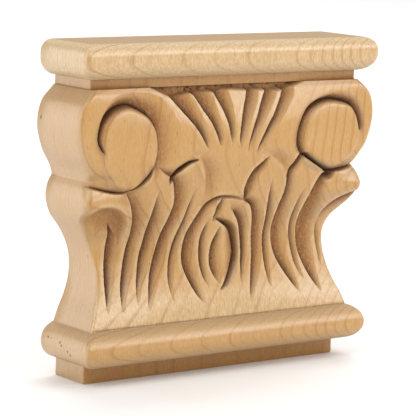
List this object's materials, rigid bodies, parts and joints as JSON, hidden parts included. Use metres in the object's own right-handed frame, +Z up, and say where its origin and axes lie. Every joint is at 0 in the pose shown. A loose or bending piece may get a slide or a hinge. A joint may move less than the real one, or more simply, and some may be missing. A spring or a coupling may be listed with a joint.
{
  "type": "column capital",
  "caption": "Small flat-backed column capital carved in maple: abacus, scrolled volutes, fan, leaves and bud on a flared bell, with a bead and block below.",
  "frame": {"origin": "under the middle of the bounding box, on the underside of the foot block", "axes": "+Z up, +X along the width, +Y towards the flat back, so the carved front looks along -Y"},
  "size_m": [0.1246, 0.0288, 0.114],
  "materials": {
    "maple": "sanded, unfinished to satin"
  },
  "bodies": {
    "root": {"capital": "maple"}
  },
  "joints": []
}
